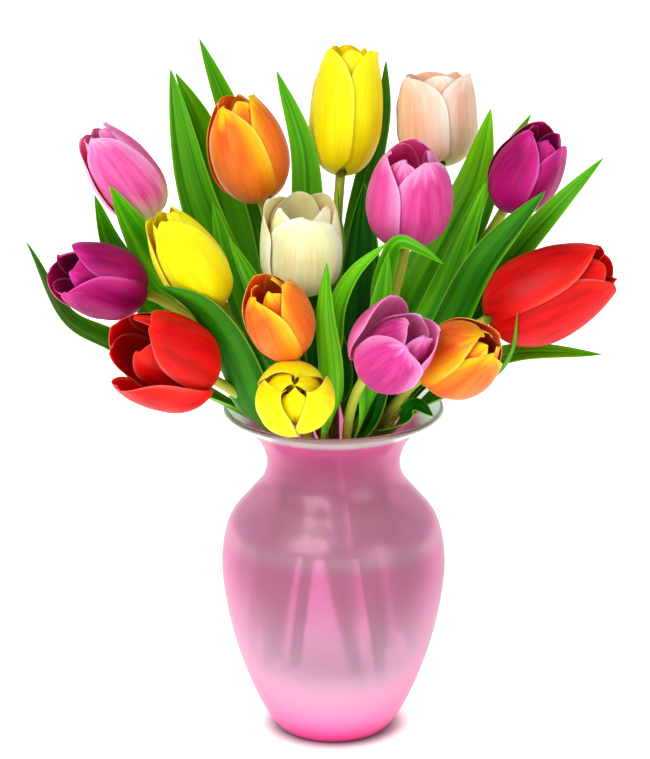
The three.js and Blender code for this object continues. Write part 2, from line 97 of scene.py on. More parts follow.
# One entry for each tulip, in the sizes and places of the part. The stem runs straight from its foot in the
# water to the vase's neck and bends from there to the bloom's base. Aim is the way that the bloom points.
# Spin turns the first outer petal round from the front, and lean opens the outer and the inner petals, in
# degrees. Tip is how wide the bloom stays at its top, from 0 to 1. Opened leans single petals further out,
# and frill is the height of the waves at their edges.
TULIPS = [
    dict(
        name="yellow_top", finish="yellow", foot=(6, 37, 66), neck=(1, 27), base=(4, 45, 328),
        aim=(0.08, 0.1, 0.99), length=76, radius=20.3, spin=60, lean=(1, 0), tip=0.62,
        leaves=[
            leaf(205, 21, 0.5, [(-9, 32, 257), (-15, 32, 305), (-18, 34, 347), (-33, 30, 395)], (0.3, -1, 0)),
            leaf(200, 19, 0.35, [(10, 52, 258), (15, 66, 290), (23, 74, 327), (30, 76, 360), (31, 74, 391)],
                 (-0.5, -1, 0)),
            leaf(262, 6, 0.8, [(6, 39, 290), (4, 37, 307), (2, 36, 326)]),
            leaf(196, 20, 0.05, [(6, 58, 230), (14, 84, 262), (22, 112, 296)]),
        ],
    ),
    dict(
        name="orange_left", finish="orange", foot=(-28, 28, 60), neck=(-17, 22), base=(-42, 35, 316),
        aim=(-0.25, -0.1, 0.96), length=65, radius=22, spin=-25, lean=(2, 0), tip=0.38,
        leaves=[
            leaf(205, 25, 0.45, [(-51, 27, 257), (-71, 26, 295), (-83, 25, 331), (-94, 22, 398)],
                 (0.4, -1, 0)),
            leaf(212, 21, 0.55, [(-49, 46, 258), (-60, 62, 297), (-76, 60, 353), (-92, 42, 391)],
                 (0.2, -1, 0)),
            leaf(200, 22, 0.5, [(-28, 52, 250), (-42, 68, 290), (-54, 76, 336), (-79, 74, 404)],
                 (0.3, -1, 0)),
            leaf(194, 20, 0.05, [(-34, 50, 226), (-50, 76, 256), (-62, 102, 288)]),
        ],
    ),
    dict(
        name="pink_left", finish="pink", foot=(-48, 9, 54), neck=(-27, 7), base=(-103, 15, 312),
        aim=(-0.56, -0.11, 0.82), length=63, radius=18.5, spin=15, lean=(1, 0), tip=0.42,
        leaves=[
            leaf(205, 30, 0.9, [(-77, 11, 252), (-103, 5, 284), (-117, -8, 313), (-128, -14, 338)],
                 (0.6, -1, 0.3)),
            leaf(196, 24, 0.6, [(-86, 17, 238), (-113, 12, 268), (-129, -4, 300), (-137, -12, 332)],
                 (0.6, -1, 0.3)),
            leaf(190, 18, 0.15, [(-60, 34, 228), (-88, 52, 252), (-116, 66, 270)]),
        ],
    ),
    dict(
        name="yellow_left", finish="yellow", foot=(-27, -6, 54), neck=(-12, -7), base=(-66, -35, 273),
        aim=(-0.48, -0.19, 0.86), length=66, radius=18.5, spin=20, lean=(1, 0), tip=0.4,
        leaves=[
            leaf(200, 18, 0.6, [(-45, -6, 245), (-60, 4, 283), (-70, 10, 322)], (0.4, -1, 0)),
        ],
    ),
    dict(
        name="purple_left", finish="purple", foot=(-43, -13, 43), neck=(-28, -6), base=(-110, -20, 276),
        aim=(-0.79, -0.48, 0.37), length=56, radius=20, spin=0, lean=(3, 1), tip=0.6, frill=1,
        leaves=[
            leaf(186, 24, 0.6, [(-83, -15, 217), (-107, -15, 229), (-130, -18, 245), (-153, -20, 260),
                                (-176, -22, 307)], (0.5, -0.3, 1)),
        ],
    ),
    dict(
        name="red_left", finish="red", foot=(-36, -25, 44), neck=(-22, -18), base=(-72, -50, 235),
        aim=(-0.66, -0.55, 0.51), length=66, radius=24, spin=90, lean=(2, 1), tip=0.6, opened={2: 10},
        leaves=[
            leaf(186, 25, 0.25, [(-47, -41, 214), (-53, -46, 235), (-63, -51, 259), (-77, -57, 279),
                                 (-99, -62, 293)], (0.2, 0.9, 0.3)),
        ],
    ),
    dict(
        name="cream_middle", finish="cream", foot=(7, 3, 60), neck=(-3, -1), base=(-18, -8, 273),
        aim=(-0.01, -0.21, 0.98), length=58, radius=22.5, spin=5, lean=(3, 1), tip=0.7, frill=1.6,
        leaves=[
            leaf(205, 12, 0.8, [(0, -20, 229), (2, -31, 269), (12, -34, 292), (31, -36, 311)],
                 (-0.3, -1, 0.5)),
            leaf(188, 29, 0, [(-2, -11, 214), (-4, -15, 242), (-8, -16, 270)], (0, -1, 0)),
            leaf(178, 25, 0.15, [(-8, 8, 204), (-9, 14, 240), (-10, 18, 272), (-11, 25, 306)], (0, -1, 0)),
        ],
    ),
    dict(
        name="orange_middle", finish="orange", foot=(15, -28, 34), neck=(-13, -16), base=(-24, -50, 251),
        aim=(-0.25, -0.51, 0.82), length=57, radius=18.5, spin=-35, lean=(2, 0), tip=0.45,
        leaves=[
            leaf(200, 15, 0.7, [(-34, -28, 244), (-43, -24, 273), (-60, -22, 309)], (0.3, -1, 0.3)),
            leaf(190, 16, 0.2, [(-24, -38, 209), (-38, -44, 238), (-51, -44, 262)], (0.4, 1, 0.3)),
        ],
    ),
    dict(
        name="yellow_open", finish="yellow", foot=(-21, -37, 54), neck=(-7, -27), base=(-23, -62, 221),
        aim=(0.03, -0.8, 0.6), length=38, radius=20, spin=62, lean=(3, 0), tip=0.03,
        opened={0: 8, 1: 3, 2: 8}, frill=1.2,
        leaves=[
            leaf(184, 15, 0.65, [(-2, -46, 207), (-2, -54, 240), (-5, -55, 276), (-4, -51, 303)],
                 (0.2, 1, 0)),
        ],
    ),
    dict(
        name="pink_right", finish="rose", foot=(21, 8, 56), neck=(12, 4), base=(42, 15, 297),
        aim=(0.04, -0.35, 0.94), length=63, radius=24.3, spin=38, lean=(1, 0), tip=0.5,
        leaves=[
            leaf(200, 14, 0.6, [(26, -5, 249), (28, -20, 284), (37, -28, 308), (49, -34, 306),
                                (63, -38, 298)], (0.3, -1, 0.6)),
            leaf(172, 28, 0.1, [(10, 9, 200), (15, 13, 262), (18, 22, 330)], (0, -1, 0)),
        ],
    ),
    dict(
        name="peach_right", finish="peach", foot=(25, 30, 60), neck=(19, 20), base=(62, 60, 329),
        aim=(-0.04, 0.15, 1), length=56, radius=22.8, spin=70, lean=(2, 1), tip=0.8, frill=0.9,
        leaves=[
            leaf(200, 33, 0.85, [(46, 32, 258), (66, 35, 297), (81, 31, 330), (91, 28, 373)], (0.5, -1, 0.2)),
            leaf(225, 16, 0.5, [(81, 45, 292), (97, 54, 330), (116, 52, 364)], (-0.5, -1, 0.2)),
            leaf(196, 20, 0.05, [(40, 48, 226), (60, 74, 258), (86, 100, 290)]),
        ],
    ),
    dict(
        name="purple_right", finish="purple", foot=(45, 11, 52), neck=(27, 7), base=(100, 25, 314),
        aim=(0.42, -0.28, 0.86), length=56, radius=19.2, spin=50, lean=(2, 1), tip=0.5, frill=0.8,
        leaves=[
            leaf(192, 20, 0.7, [(48, 3, 234), (65, 9, 268), (77, 11, 300), (88, 10, 334)], (-0.4, -1, 0.2)),
            leaf(190, 18, 0.1, [(62, 34, 232), (88, 54, 254), (112, 70, 276)]),
            leaf(184, 18, 0, [(35, -1, 206), (41, 1, 222), (47, 4, 244)], (0, -1, 0)),
        ],
    ),
    dict(
        name="red_right", finish="red", foot=(43, -3, 46), neck=(27, -9), base=(88, -25, 261),
        aim=(0.88, -0.13, 0.46), length=78, radius=26, spin=11, lean=(1, 0), tip=0.48,
        leaves=[
            leaf(205, 22, 0.25, [(60, -9, 238), (72, -6, 261), (88, -8, 293), (121, -14, 335)],
                 (-0.5, -1, 0.4)),
            leaf(196, 19, 0.5, [(62, -5, 231), (85, 4, 264), (105, 4, 292), (130, 0, 323), (155, 0, 351)],
                 (-0.5, -1, 0.4)),
            leaf(186, 14, 0.5, [(56, -18, 210), (79, -22, 230), (107, -24, 241), (155, -24, 240)],
                 (-0.2, -0.8, 0.8)),
        ],
    ),
    dict(
        name="mauve_middle", finish="mauve", foot=(27, -33, 36), neck=(9, -27), base=(21, -66, 243),
        aim=(0.52, -0.5, 0.68), length=50, radius=20.5, spin=-24, lean=(3, -3), tip=0.55,
        opened={0: 5, 2: 12}, frill=0.9,
        leaves=[
            leaf(186, 17, 0.6, [(21, -42, 218), (23, -44, 246), (27, -43, 275), (31, -42, 307)], (0, 1, 0.2)),
            leaf(178, 20, 0.05, [(19, -32, 208), (26, -32, 244), (29, -30, 264)], (0, -1, 0)),
        ],
    ),
    dict(
        name="orange_right", finish="orange", foot=(43, -18, 50), neck=(20, -19), base=(55, -40, 234),
        aim=(0.62, -0.59, 0.51), length=55, radius=22, spin=18, lean=(1, -1), tip=0.3,
        leaves=[
            leaf(188, 16, 0, [(40, -42, 207), (47, -45, 216), (57, -50, 211)], (0, -0.5, 1)),
            leaf(200, 5, 0.4, [(64, -30, 216), (92, -36, 230), (102, -47, 250), (104, -56, 275)],
                 (-0.5, 0.5, 1)),
        ],
    ),
]


def linear(colour):
    """An sRGB hex colour as the linear red, green, blue and alpha that Blender's sockets take."""
    channels = [int(colour[i:i + 2], 16) / 255 for i in (1, 3, 5)]
    return tuple(c / 12.92 if c <= 0.04045 else ((c + 0.055) / 1.055) ** 2.4 for c in channels) + (1.0,)


def add_node(tree, kind, inputs=(), out=None, **settings):
    """Adds a node and returns an output of it, the first in use unless one is named. Inputs come in the
    sockets' order or under their names: a value, a hex colour or the output to link. Settings are the node's
    properties."""
    made = tree.nodes.new(kind)
    for key, value in settings.items():
        setattr(made, key, value)
    for key, value in inputs.items() if isinstance(inputs, dict) else enumerate(inputs):
        if isinstance(value, bpy.types.NodeSocket):
            tree.links.new(value, made.inputs[key])
        else:
            made.inputs[key].default_value = linear(value) if isinstance(value, str) else value
    if out:
        return made.outputs[out]
    return next((output for output in made.outputs if output.enabled), None)


# The nodes that are used most. A range takes its value, where it starts and ends, and what it gives there.
MATHS = "ShaderNodeMath"
MIX = "ShaderNodeMix"
RANGE = "ShaderNodeMapRange"
COLOUR = {"data_type": "RGBA"}
SMOOTH = {"interpolation_type": "SMOOTHSTEP"}
TIMES = {"operation": "MULTIPLY"}


def start_material(name):
    """An empty material, and the function that adds a node to it."""
    material = bpy.data.materials.new(name)
    material.use_nodes = True
    material.node_tree.nodes.clear()
    return material, partial(add_node, material.node_tree)


def blade_axes(add):
    """Of a petal, a leaf or a stem: across and along it, each from 0 to 1, how far off its middle line, up
    to 1 at its edge, and its own tone."""
    axes = add("ShaderNodeSeparateXYZ", [add("ShaderNodeUVMap", uv_map="blade")]).node.outputs
    from_side_to_side = add(MATHS, [axes["X"], 2, -1], operation="MULTIPLY_ADD")
    off_middle = add(MATHS, [from_side_to_side], operation="ABSOLUTE")
    tone = add("ShaderNodeAttribute", out="Fac", attribute_name="tone")
    return axes["X"], axes["Y"], off_middle, tone


def fibres(add, across, along, tone, count, stretch):
    """Fine lines that run along a blade: so many across it, and stretched along it. A blade's own tone moves
    it to another part of the pattern."""
    parts_apart = 37
    place = add("ShaderNodeCombineXYZ", [
        add(MATHS, [across, count], **TIMES), add(MATHS, [along, stretch], **TIMES),
        add(MATHS, [tone, parts_apart], **TIMES)])
    return add("ShaderNodeTexNoise", {"Vector": place, "Scale": 1, "Detail": 3, "Roughness": 0.6})


def petal_skin(name, body, deep, edge, base, inside, edge_from=0.55, flame=0, flame_colour=None, sheen=0.1,
               base_to=0.3, rib=0.22):
    """A fresh petal: satin, a little see-through, with fine fibres along it, a paler or warmer edge finished
    with a thin painted highlight, an inner face whose colour holds painted light and shade, and a base that
    fades to another colour. A flame is a share of another colour up its middle."""
    material, add = start_material(name + " tulip petal, satin")
    across, along, off_middle, tone = blade_axes(add)
    # On a petal 48 mm across the streaks are about 5 mm wide, and the fibres 1 mm, coarser than real ones so
    # that they show.
    coarse = fibres(add, across, along, tone, 9, 1.6)
    fine = fibres(add, across, along, tone, 46, 2.4)
    streaks = add(RANGE, [coarse, 0.35, 0.7], **SMOOTH)
    colour = add(MIX, {"Factor": streaks, "A": body, "B": deep}, **COLOUR)
    if flame:
        near_middle = add(RANGE, [off_middle, 0, 0.8, flame, 0], **SMOOTH)
        low_down = add(RANGE, [along, 0.1, 0.95, 1, 0.2], **SMOOTH)
        share = add(MATHS, [near_middle, low_down], **TIMES)
        colour = add(MIX, {"Factor": share, "A": colour, "B": flame_colour}, **COLOUR)
    # The edge and the tip, with a border that the coarse fibres make uneven.
    shaken = add(MATHS, [off_middle, add(RANGE, [coarse, 0.2, 0.8, -0.16, 0.16])])
    edges = add(MATHS, [
        add(RANGE, [shaken, edge_from, 1.05], **SMOOTH),
        add(RANGE, [along, 0.15, 0.6], **SMOOTH)], **TIMES)
    shaken = add(MATHS, [along, add(RANGE, [coarse, 0.2, 0.8, -0.1, 0.1], **SMOOTH)])
    tip = add(RANGE, [shaken, 0.82, 1.02], **SMOOTH)
    share = add(MATHS, [edges, tip], operation="MAXIMUM")
    colour = add(MIX, {"Factor": share, "A": colour, "B": edge}, **COLOUR)
    shaken = add(MATHS, [along, add(RANGE, [coarse, 0.2, 0.8, -0.07, 0.07], **SMOOTH)])
    rooted = add(RANGE, [shaken, 0.03, base_to, 1, 0], **SMOOTH)
    colour = add(MIX, {"Factor": rooted, "A": colour, "B": base}, **COLOUR)
    # Painted light and shade: the inner faces take the inside colour, set lighter than the body where light
    # should reach into the cup and darker where shade fills it.
    inner_face = add("ShaderNodeAttribute", out="Fac", attribute_name="inner_face")
    share = add(MATHS, [inner_face, 0.75], **TIMES)
    colour = add(MIX, {"Factor": share, "A": colour, "B": inside}, **COLOUR)
    # Painted highlight: a thin pale line along each petal's very edge, standing in for light caught there.
    painted_hem_highlight = add(MATHS, [
        add(RANGE, [off_middle, 0.88, 1, 0, 0.4], **SMOOTH),
        add(RANGE, [along, 0.3, 0.7], **SMOOTH)], **TIMES)
    hem_highlight_colour = add(MIX, {"Factor": 0.2, "A": edge, "B": "#FFFFFF"}, **COLOUR)
    colour = add(MIX, {"Factor": painted_hem_highlight, "A": colour, "B": hem_highlight_colour}, **COLOUR)
    light = add(MATHS, [
        add(RANGE, [fine, 0.3, 0.7, 0.94, 1.05], **SMOOTH),
        add(RANGE, [tone, 0, 1, 0.93, 1.05], **SMOOTH)], **TIMES)
    shader = add("ShaderNodeBsdfPrincipled", {
        "Base Color": add("ShaderNodeHueSaturation", {"Color": colour, "Value": light}),
        "Normal": add("ShaderNodeBump", {"Height": fine, "Strength": rib, "Distance": 0.4 * MM}),
        "Roughness": 0.42, "IOR": 1.38, "Specular IOR Level": 0.3, "Subsurface Weight": 0.8,
        "Subsurface Scale": 2.5 * MM, "Subsurface Radius": (1, 0.6, 0.5), "Sheen Weight": sheen,
        "Sheen Roughness": 0.4})
    add("ShaderNodeOutputMaterial", {"Surface": shader})
    return material


# Tulip petals, grown with a thin wax layer: satin, bright where the light grazes, and deep at the folds. The
# colours are the body, its deeper streaks, the edge, the base and the inside. The inside is partly the
# petals' own colour and partly painted light and shade: lighter than the body in the mauve and rose pink
# blooms, darker in the red and purple ones.
PETALS = {
    "yellow": petal_skin("yellow", "#FFE100", "#FBD200", "#FFEB1E", "#E6DC1A", "#FFD800"),
    "orange": petal_skin("orange", "#F7811F", "#EA5A10", "#FFC414", "#F2A12A", "#FF7020",
                         edge_from=0.45, flame=0.5, flame_colour="#EF8358"),
    "pink": petal_skin("light pink", "#E66CA8", "#D2488C", "#F0A2C8", "#E4E0A2", "#DE6CA6", base_to=0.42),
    "rose": petal_skin("rose pink", "#E35BA2", "#D23B88", "#F29CC9", "#E9C0C8", "#FF50AC"),
    "purple": petal_skin("purple", "#A80E6E", "#860654", "#CA2E92", "#9C2876", "#880850", sheen=0.03),
    "red": petal_skin("red", "#D01016", "#AC080E", "#EE2C1E", "#CE2418", "#B0060A", sheen=0),
    "cream": petal_skin("cream", "#F4E9B8", "#EDDFA6", "#FAF4D4", "#D8DE8C", "#F2E6B4", rib=0.08),
    "peach": petal_skin("pale peach", "#F3C5B2", "#EBAD9C", "#F8DACB", "#EFD98E", "#F6C4AA",
                        rib=0.12, flame=0.45, flame_colour="#F4C87E"),
    "mauve": petal_skin("mauve pink", "#C8408E", "#AA2876", "#EA8CC0", "#E2A6C0", "#FFA0D8"),
}


def leaf_skin():
    """A waxy leaf: smooth, with veins that run its whole length, paler at its root, and with a painted pale
    highlight along its edges.
    """
    material, add = start_material("tulip leaf, waxy")
    across, along, off_middle, tone = blade_axes(add)
    # Painted shade as well as the leaf's own green: each leaf's tone sets how light its green is, and the
    # leaves at the back are set dark as the shade among the stems.
    shade = add(RANGE, [tone, 0, 1], **SMOOTH)
    # Veins about 0.7 mm apart on a leaf 20 mm across, coarser than real ones so that they show, and bands of
    # about 4 mm.
    veins = fibres(add, across, along, tone, 30, 1.3)
    bands = add(RANGE, [fibres(add, across, along, tone, 5, 0.8), 0.35, 0.68], **SMOOTH)
    light = add(MIX, {"Factor": shade, "A": "#1A7804", "B": "#84D41A"}, **COLOUR)
    dark = add(MIX, {"Factor": shade, "A": "#044402", "B": "#3EA408"}, **COLOUR)
    colour = add(MIX, {"Factor": bands, "A": light, "B": dark}, **COLOUR)
    # Painted highlight: a pale band along the leaf's edges, standing in for light caught there.
    leaf_edge_highlight = add(RANGE, [off_middle, 0.86, 1, 0, 0.6], **SMOOTH)
    colour = add(MIX, {"Factor": leaf_edge_highlight, "A": colour, "B": "#98D23C"}, **COLOUR)
    rooted = add(RANGE, [along, 0.02, 0.3, 0.75, 0], **SMOOTH)
    colour = add(MIX, {"Factor": rooted, "A": colour, "B": "#84B034"}, **COLOUR)
    lines = add(RANGE, [veins, 0.3, 0.7, 0.86, 1.1], **SMOOTH)
    shader = add("ShaderNodeBsdfPrincipled", {
        "Base Color": add("ShaderNodeHueSaturation", {"Color": colour, "Value": lines}),
        "Normal": add("ShaderNodeBump", {"Height": veins, "Strength": 0.3, "Distance": 0.4 * MM}),
        "Roughness": 0.42, "IOR": 1.4, "Specular IOR Level": 0.3, "Subsurface Weight": 0.12,
        "Subsurface Scale": 1 * MM, "Subsurface Radius": (0.5, 1, 0.2)})
    add("ShaderNodeOutputMaterial", {"Surface": shader})
    return material


def stem_skin():
    """A round green stem: smooth and juicy, with faint lines along it, paler towards the flower."""
    material, add = start_material("tulip stem, smooth")
    across, along, _, tone = blade_axes(add)
    # Lines about 1.7 mm apart round a stem of 20 mm girth, coarser than real ones so that they show.
    lines = fibres(add, across, along, tone, 12, 6)
    height = add(RANGE, [along, 0.2, 1], **SMOOTH)
    colour = add(MIX, {"Factor": height, "A": "#7A862C", "B": "#AEB840"}, **COLOUR)
    light = add(RANGE, [lines, 0.3, 0.7, 0.85, 1.1], **SMOOTH)
    shader = add("ShaderNodeBsdfPrincipled", {
        "Base Color": add("ShaderNodeHueSaturation", {"Color": colour, "Value": light}),
        "Normal": add("ShaderNodeBump", {"Height": lines, "Strength": 0.2, "Distance": 0.3 * MM}),
        "Roughness": 0.42, "IOR": 1.42, "Subsurface Weight": 0.15, "Subsurface Scale": 1.5 * MM,
        "Subsurface Radius": (0.5, 1, 0.3)})
    add("ShaderNodeOutputMaterial", {"Surface": shader})
    return material


def matt_skin(name, low, high, roughness, grain):
    """A matt plant surface with a fine grain of its own size, in millimetres."""
    material, add = start_material(name)
    place = add("ShaderNodeTexCoord", out="Object")
    speckle = add("ShaderNodeTexNoise", {"Vector": place, "Scale": 1 / (grain * MM), "Detail": 2})
    share = add(RANGE, [speckle, 0.3, 0.7], **SMOOTH)
    shader = add("ShaderNodeBsdfPrincipled", {
        "Base Color": add(MIX, {"Factor": share, "A": low, "B": high}, **COLOUR),
        "Normal": add("ShaderNodeBump", {"Height": speckle, "Strength": 0.5, "Distance": 0.2 * MM}),
        "Roughness": roughness})
    add("ShaderNodeOutputMaterial", {"Surface": shader})
    return material


def vase_glass():
    """Glass frosted on its outside: milky, so what stands in it shows blurred. Its pink is deepest at the
    foot and where the wall is seen edge on, and stops below the clear lip."""
    material, add = start_material("frosted pink glass")
    place = add("ShaderNodeTexCoord", out="Object")
    height = add("ShaderNodeSeparateXYZ", [place], out="Z")
    hot_foot = add(RANGE, [height, 2 * MM, 46 * MM])
    pink = add(MIX, {"Factor": hot_foot, "A": "#FF1E8E", "B": "#F6CCE4"}, **COLOUR)
    belly = add(RANGE, [height, 58 * MM, 112 * MM], **SMOOTH)
    pink = add(MIX, {"Factor": belly, "A": pink, "B": "#F29CC8"}, **COLOUR)
    # Painted reflection: a pale line painted into the glass's colour at the water's level, standing in for
    # the water's surface seen through the frosting.
    painted_waterline_reflection = add(MATHS, [
        add(RANGE, [height, 116 * MM, 126 * MM], **SMOOTH),
        add(RANGE, [height, 127 * MM, 134 * MM, 0.5, 0], **SMOOTH)], **TIMES)
    pink = add(MIX, {"Factor": painted_waterline_reflection, "A": pink, "B": "#FFE9F4"}, **COLOUR)
    shoulder = add(RANGE, [height, 120 * MM, 138 * MM], **SMOOTH)
    pink = add(MIX, {"Factor": shoulder, "A": pink, "B": "#FCC0E0"}, **COLOUR)
    neck = add(RANGE, [height, 146 * MM, 174 * MM], **SMOOTH)
    pink = add(MIX, {"Factor": neck, "A": pink, "B": "#F084BA"}, **COLOUR)
    edge_on = add("ShaderNodeLayerWeight", {"Blend": 0.5}, out="Facing")
    share = add(RANGE, [edge_on, 0.2, 0.9, 0, 0.75], **SMOOTH)
    pink = add(MIX, {"Factor": share, "A": pink, "B": "#CC5490"}, **COLOUR)
    lip = add(RANGE, [height, 190 * MM, 195 * MM], **SMOOTH)
    # Half-way along the turned outline the frosted outside gives way to the smooth inside. Frosting smoother
    # than about 0.28 left a thin line in the render where the noise is taken out.
    frosted = add(RANGE, [blade_axes(add)[1], 0.5, 0.52, 0.285, 0.04], **SMOOTH)
    clear = add(MATHS, [
        add(RANGE, [height, 10 * MM, 64 * MM, 0.1, 0.78], **SMOOTH),
        add(RANGE, [edge_on, 0.2, 0.85, 1, 0.45], **SMOOTH)], **TIMES)
    smooth_lip = add(RANGE, [lip, 0, 1, 1, 0.3], **SMOOTH)
    clear_lip = add(RANGE, [lip, 0, 1, 1, 1.2], **SMOOTH)
    shader = add("ShaderNodeBsdfPrincipled", {
        "Base Color": add(MIX, {"Factor": lip, "A": pink, "B": "#E2F0E2"}, **COLOUR),
        "Roughness": add(MATHS, [frosted, smooth_lip], **TIMES), "IOR": 1.4,
        "Transmission Weight": add(MATHS, [clear, clear_lip], **TIMES)})
    add("ShaderNodeOutputMaterial", {"Surface": shader})
    return material


def water_finish():
    """Clear still water."""
    material, add = start_material("still water")
    shader = add("ShaderNodeBsdfPrincipled", {
        "Base Color": "#F4FAFA", "Roughness": 0, "IOR": 1.33, "Transmission Weight": 1})
    add("ShaderNodeOutputMaterial", {"Surface": shader})
    return material


LEAF_SKIN = leaf_skin()
STEM_SKIN = stem_skin()
PISTIL_SKIN = matt_skin("tulip pistil, matt green", "#B9BF4A", "#D8D27A", 0.55, 0.8)
FILAMENT_SKIN = matt_skin("stamen filament, matt yellow", "#D9C23A", "#E9D866", 0.55, 0.8)
ANTHER_SKIN = matt_skin("anther, powdery with pollen", "#8A4A12", "#C88A22", 0.85, 0.4)
VASE_GLASS = vase_glass()
WATER = water_finish()


def smoothstep(value, low, high):
    """From 0 at low to 1 at high, easing in and out."""
    share = min(max((value - low) / (high - low), 0), 1)
    return share * share * (3 - 2 * share)


class Route:
    """A smooth line through space, walked by the share of its length."""

    def __init__(self, places):
        self.places = places
        self.lengths = [0.0]
        for here, there in zip(places, places[1:]):
            self.lengths.append(self.lengths[-1] + (there - here).length)

    def at(self, share):
        reach = min(max(share, 0), 1) * self.lengths[-1]
        index = min(bisect.bisect_right(self.lengths, reach), len(self.places) - 1) - 1
        part = (reach - self.lengths[index]) / (self.lengths[index + 1] - self.lengths[index])
        return self.places[index].lerp(self.places[index + 1], part)

    def direction(self, share, step=0.006):
        return (self.at(share + step) - self.at(share - step)).normalized()

    def share_at_height(self, height):
        low, high = 0.0, 1.0
        for _ in range(24):
            middle = (low + high) / 2
            if self.at(middle).z < height:
                low = middle
            else:
                high = middle
        return low


def hermite(start, end, leave, arrive, share):
    """The place at a share of the way along a curve that leaves its start and arrives at its end so."""
    square, cube = share ** 2, share ** 3
    return (start * (2 * cube - 3 * square + 1) + end * (3 * square - 2 * cube)
            + leave * (cube - 2 * square + share) + arrive * (cube - square))


def curve_through(places):
    """A centripetal curve through the places, as a list of close points."""
    steps = 40
    ends = [places[0] * 2 - places[1], *places, places[-1] * 2 - places[-2]]
    line = []
    for before, start, end, after in zip(ends, ends[1:], ends[2:], ends[3:]):
        first = (start - before).length ** 0.5
        middle = (end - start).length ** 0.5
        last = (after - end).length ** 0.5
        pace = (end - start) / middle
        leave = ((start - before) / first - (end - before) / (first + middle) + pace) * middle
        arrive = (pace - (after - start) / (middle + last) + (after - end) / last) * middle
        line += [hermite(start, end, leave, arrive, step / steps) for step in range(steps)]
    return line + [places[-1]]


def stem_route(tulip):
    """From the foot straight to the vase's neck, and bent from there to just below the bloom."""
    foot = Vector(tulip["foot"])
    neck = Vector((*tulip["neck"], NECK_HEIGHT))
    aim = Vector(tulip["aim"]).normalized()
    end = Vector(tulip["base"]) - aim * GAP
    reach = (end - neck).length
    rise = (neck - foot).normalized()
    bend_from = neck + rise * 0.25 * reach
    bend_to = end - aim * 0.3 * reach
    steps = 48
    line = [foot.lerp(neck, step / steps) for step in range(steps)]
    for step in range(steps + 1):
        t = step / steps
        line.append(neck * (1 - t) ** 3 + bend_from * 3 * t * (1 - t) ** 2
                    + bend_to * 3 * t * t * (1 - t) + end * t ** 3)
    return Route(line)


def piece(mesh, slot, *nodes):
    """Puts a finished mesh in the scene as a piece of the same name that stands for its nodes."""
    made = bpy.data.objects.new(mesh.name, mesh)
    bpy.context.scene.collection.objects.link(made)
    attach(made, "root")
    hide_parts(*nodes)


